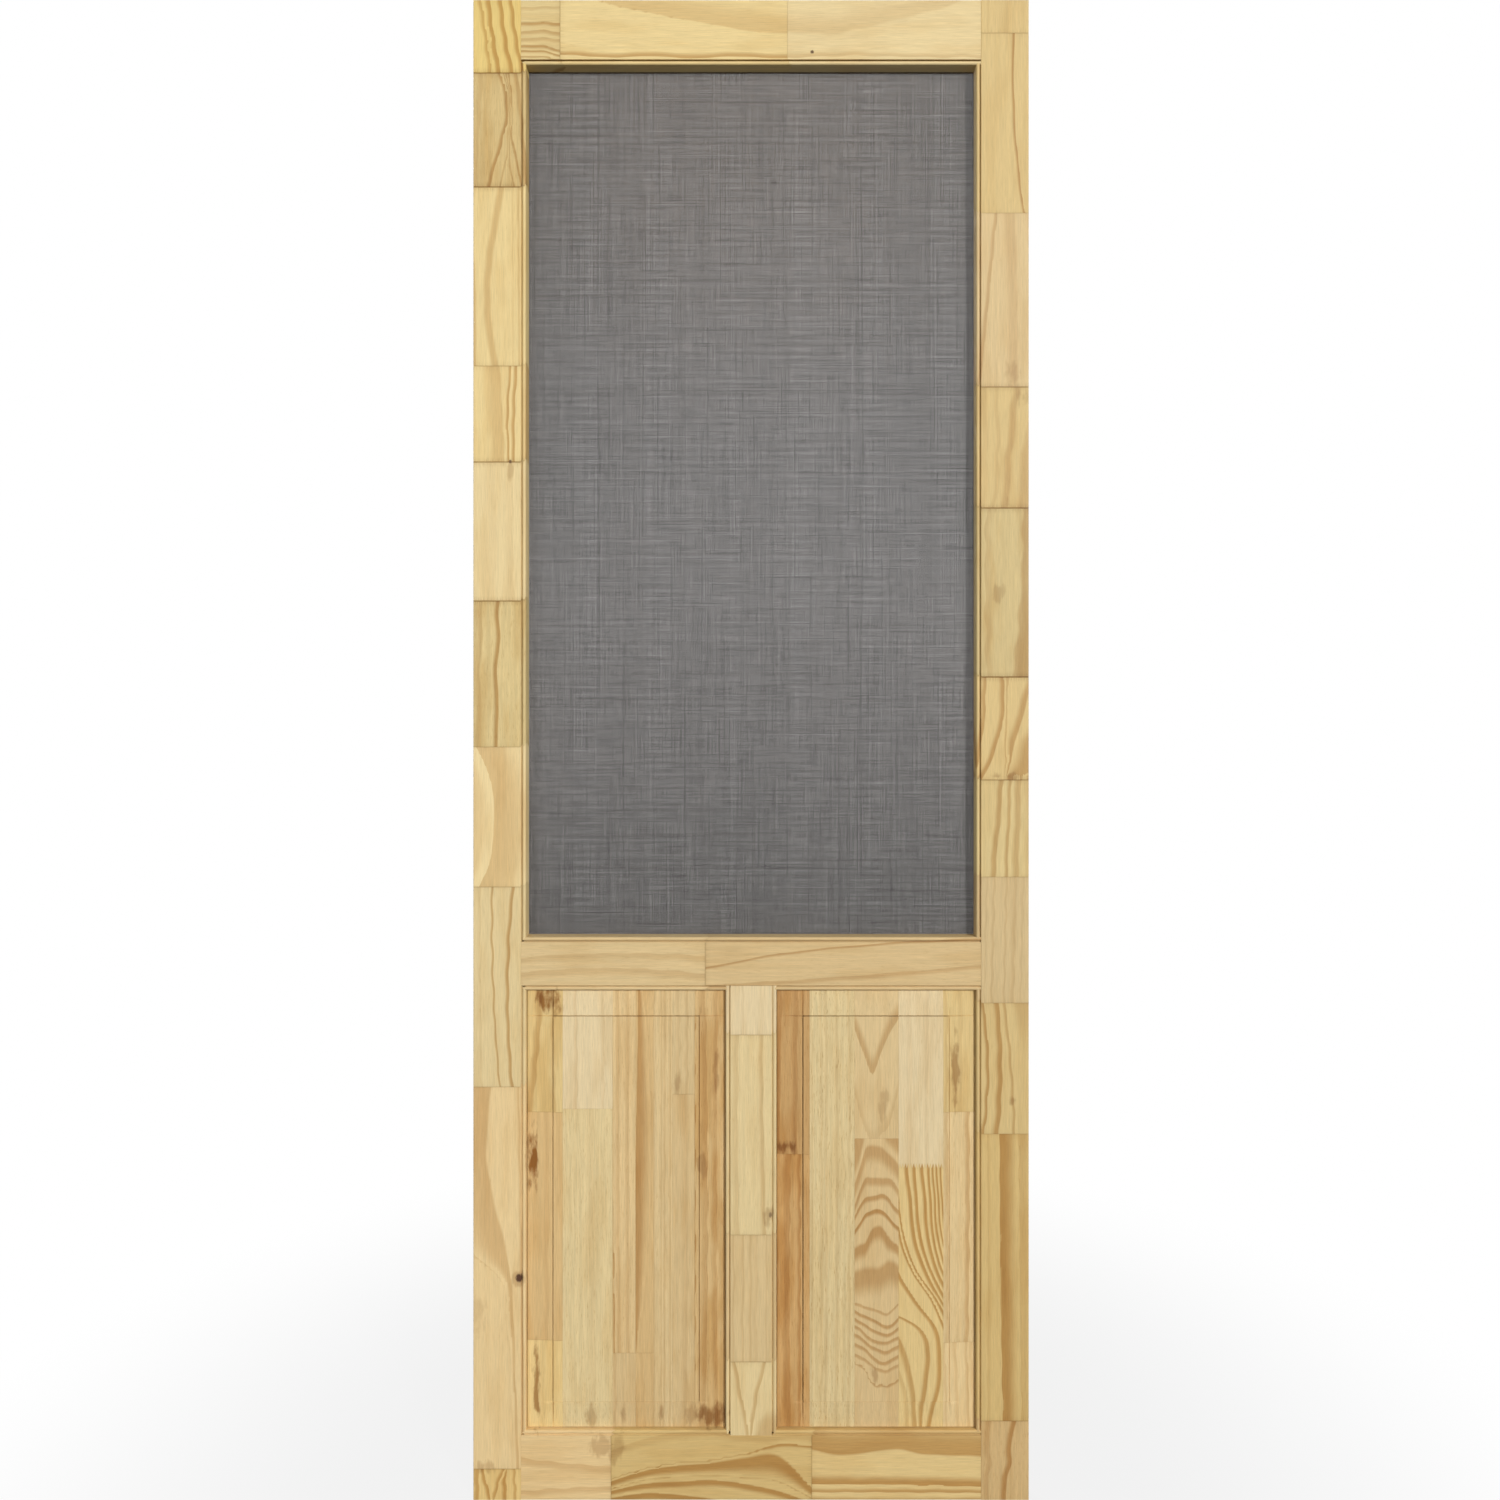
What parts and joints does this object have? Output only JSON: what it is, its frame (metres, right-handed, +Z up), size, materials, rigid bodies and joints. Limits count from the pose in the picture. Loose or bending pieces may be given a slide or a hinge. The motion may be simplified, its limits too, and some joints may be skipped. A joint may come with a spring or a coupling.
{
  "type": "wooden screen door",
  "caption": "Unfinished finger-jointed pine screen door with a beaded frame, a tall insect screen above a lock rail and raised panels below.",
  "frame": {"origin": "on the hinge edge, at mid-thickness, at the foot of the door", "axes": "+X across the door from the hinge edge to the latch edge, +Y from the front face to the back, +Z up"},
  "size_m": [0.762, 0.0286, 2.0574],
  "materials": {
    "pine_frame": "bare planed and sanded finger-jointed pine",
    "pine_panel": "bare sanded edge-glued pine strips",
    "pine_stop": "bare planed pine strip",
    "screen_cloth": "coated glass-fibre insect screening, charcoal grey, satin"
  },
  "bodies": {
    "root": {"hinge_stile": "pine_frame", "latch_stile": "pine_frame", "top_rail": "pine_frame", "lock_rail": "pine_frame", "bottom_rail": "pine_frame", "centre_muntin": "pine_frame", "left_panel": "pine_panel", "right_panel": "pine_panel", "insect_screen": "screen_cloth", "screen_stop_top": "pine_stop", "screen_stop_bottom": "pine_stop", "screen_stop_left": "pine_stop", "screen_stop_right": "pine_stop"}
  },
  "joints": []
}
